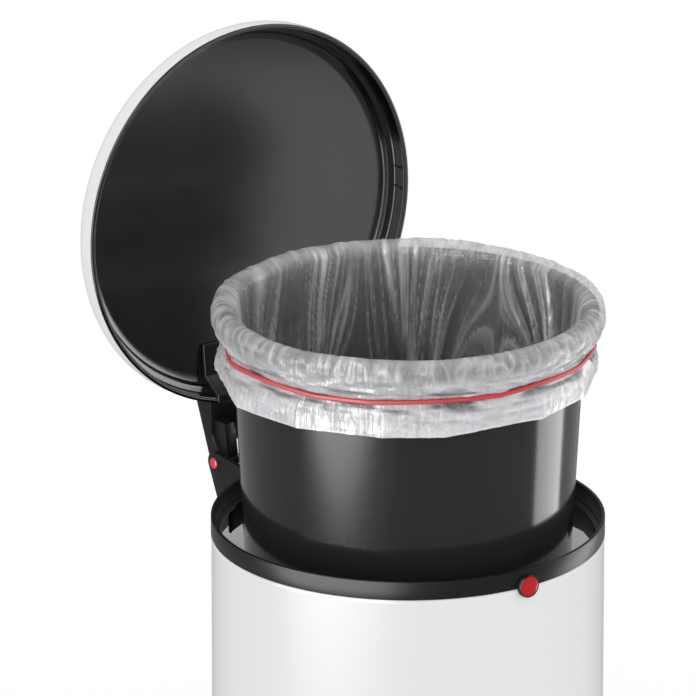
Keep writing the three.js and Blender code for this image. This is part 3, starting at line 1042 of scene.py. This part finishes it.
def makeBand():
    low, high = boxMm("elastic_band")
    z = (low[2] + high[2]) / 2
    deselectAll()
    bpy.ops.mesh.primitive_torus_add(major_radius=bag["waist"] * mm, minor_radius=band["thick"] * mm,
                                     major_segments=band["segments"], minor_segments=band["sides"],
                                     location=(0, 0, z * mm))
    piece = settle(bpy.context.object)
    piece.name = "elasticBand"
    for vertex in piece.data.vertices:
        a = math.atan2(vertex.co.y, vertex.co.x)
        push = 1 + (waistRadius(a) + band["clear"] - bag["waist"]) / bag["waist"]
        vertex.co.x *= push
        vertex.co.y *= push
        vertex.co.z += waistRise(a) * mm
    smooth(piece, 60)
    return finishPiece(piece, elasticRed, "tub", "elastic", "elastic_band")


makeBand()
print("band made")


# base, pedal and rod

base = {"radius": 150, "height": 34, "wall": 3, "floor": 3.6, "groove": (135.7, 142.3), "grooveDepth": 2}


def makeBase():
    radius, height, wall, floor = base["radius"], base["height"], base["wall"], base["floor"]
    inner, outer = base["groove"]
    depth = base["grooveDepth"]
    pan = turned("basePan", [
        (0, 0), (inner, 0), (inner, depth), (outer, depth), (outer, 0), (radius - 1.2, 0), (radius, 1.2),
        (radius, height - 5), (radius - 0.6, height - 4.4), (radius - 0.6, height - 3.6),
        (radius, height - 3), (radius, height), (radius - wall, height), (radius - wall, floor), (0, floor)],
        close=False)
    half = body["slot"]
    cutWith(pan, block("frontSlot", (-half, -160, 8), (half, -140, height + 6)))
    cutWith(pan, block("rearSlot", (-half, 140, 10), (half, 160, height + 6)))
    roundEdges(pan, 0.4, 2, 40)
    smooth(pan, 35)
    finishPiece(pan, satinAbs, "bin", "black_plastic", "base_pan")


cover = {"wall": 2.4, "rounding": 1.1}


def makeCover():
    (left, near, foot), (right, far, top) = boxMm("rod_cover")
    wall = cover["wall"]
    piece = block("rodCover", (left, near, foot), (right, far, top))
    cutWith(piece, block("hollow", (left + wall, near - 5, foot - 5), (right - wall, far - wall, top + 5)))
    roundEdges(piece, cover["rounding"], 4, 40)
    smooth(piece, 38)
    finishPiece(piece, enamel, "bin", "white_enamel", "rod_cover")


# tread and pad are drawn level beside the pedal's axle, then turned to the pressed place
pedal = {
    "tilt": 6.8, "half": 32, "reach": (-162, -108), "height": (10.8, 13.4), "rounding": 6.0,
    "padHalf": 29, "padReach": (-159.5, -110.5), "padHeight": (13.7, 15.4),
    "ribs": 8, "ribHalf": 26, "ribStart": -156.5, "ribPitch": 5.5, "ribWidth": 2.5, "ribHeight": (15.2, 16.5),
}


def makePedal():
    (_, y, z), _ = jointPlace("pedal_pivot")

    def across(name, half, reach, height):
        return block(name, (-half, y + reach[0], z + height[0]), (half, y + reach[1], z + height[1]))

    tread = across("pedalTread", pedal["half"], pedal["reach"], pedal["height"])
    roundEdges(tread, pedal["rounding"], 6, 80)
    smooth(tread, 40)
    finishPiece(turnedAbout(tread, y, z, pedal["tilt"]), zinc, "pedal", "steel", "pedal_tread")
    pad = across("pedalPad", pedal["padHalf"], pedal["padReach"], pedal["padHeight"])
    starts = [pedal["ribStart"] + pedal["ribPitch"] * i for i in range(pedal["ribs"])]
    ribs = [across("rib", pedal["ribHalf"], (start, start + pedal["ribWidth"]), pedal["ribHeight"])
            for start in starts]
    for rib in ribs:
        roundEdges(rib, 0.5, 2, 40)
    roundEdges(pad, 0.6, 3, 40)
    pad = merge("pedalPad", [pad] + ribs)
    smooth(pad, 40)
    finishPiece(turnedAbout(pad, y, z, pedal["tilt"]), softRubber, "pedal", "rubber", "pedal_pad")


makeBase()
makeCover()
makePedal()
print("base, cover and pedal made")


# the CAD pieces that stay get their finishes

kept = {
    "anti_slip_ring": softRubber,
    "inner_floor": zinc,
    "damper_housing": satinAbs,
    "damper_rotor": nylon,
    "bracket_screw_left": zinc,
    "bracket_screw_right": zinc,
    "cover_screw_lower": zinc,
    "cover_screw_upper": zinc,
    "clamp_screw_left": zinc,
    "clamp_screw_right": zinc,
    "rod_guide_lower": nylon,
    "rod_guide_upper": nylon,
    "rod_foot": nylon,
    "rod_pusher": nylon,
    "push_rod": zinc,
    "pedal_bearing_left": nylon,
    "pedal_bearing_right": nylon,
    "pedal_axle": zinc,
    "pedal_lever": zinc,
}
for node, material in kept.items():
    part = frame["nodes"][node]
    part.data.materials.clear()
    part.data.materials.append(material)
print("finishes given to the carried-over pieces")
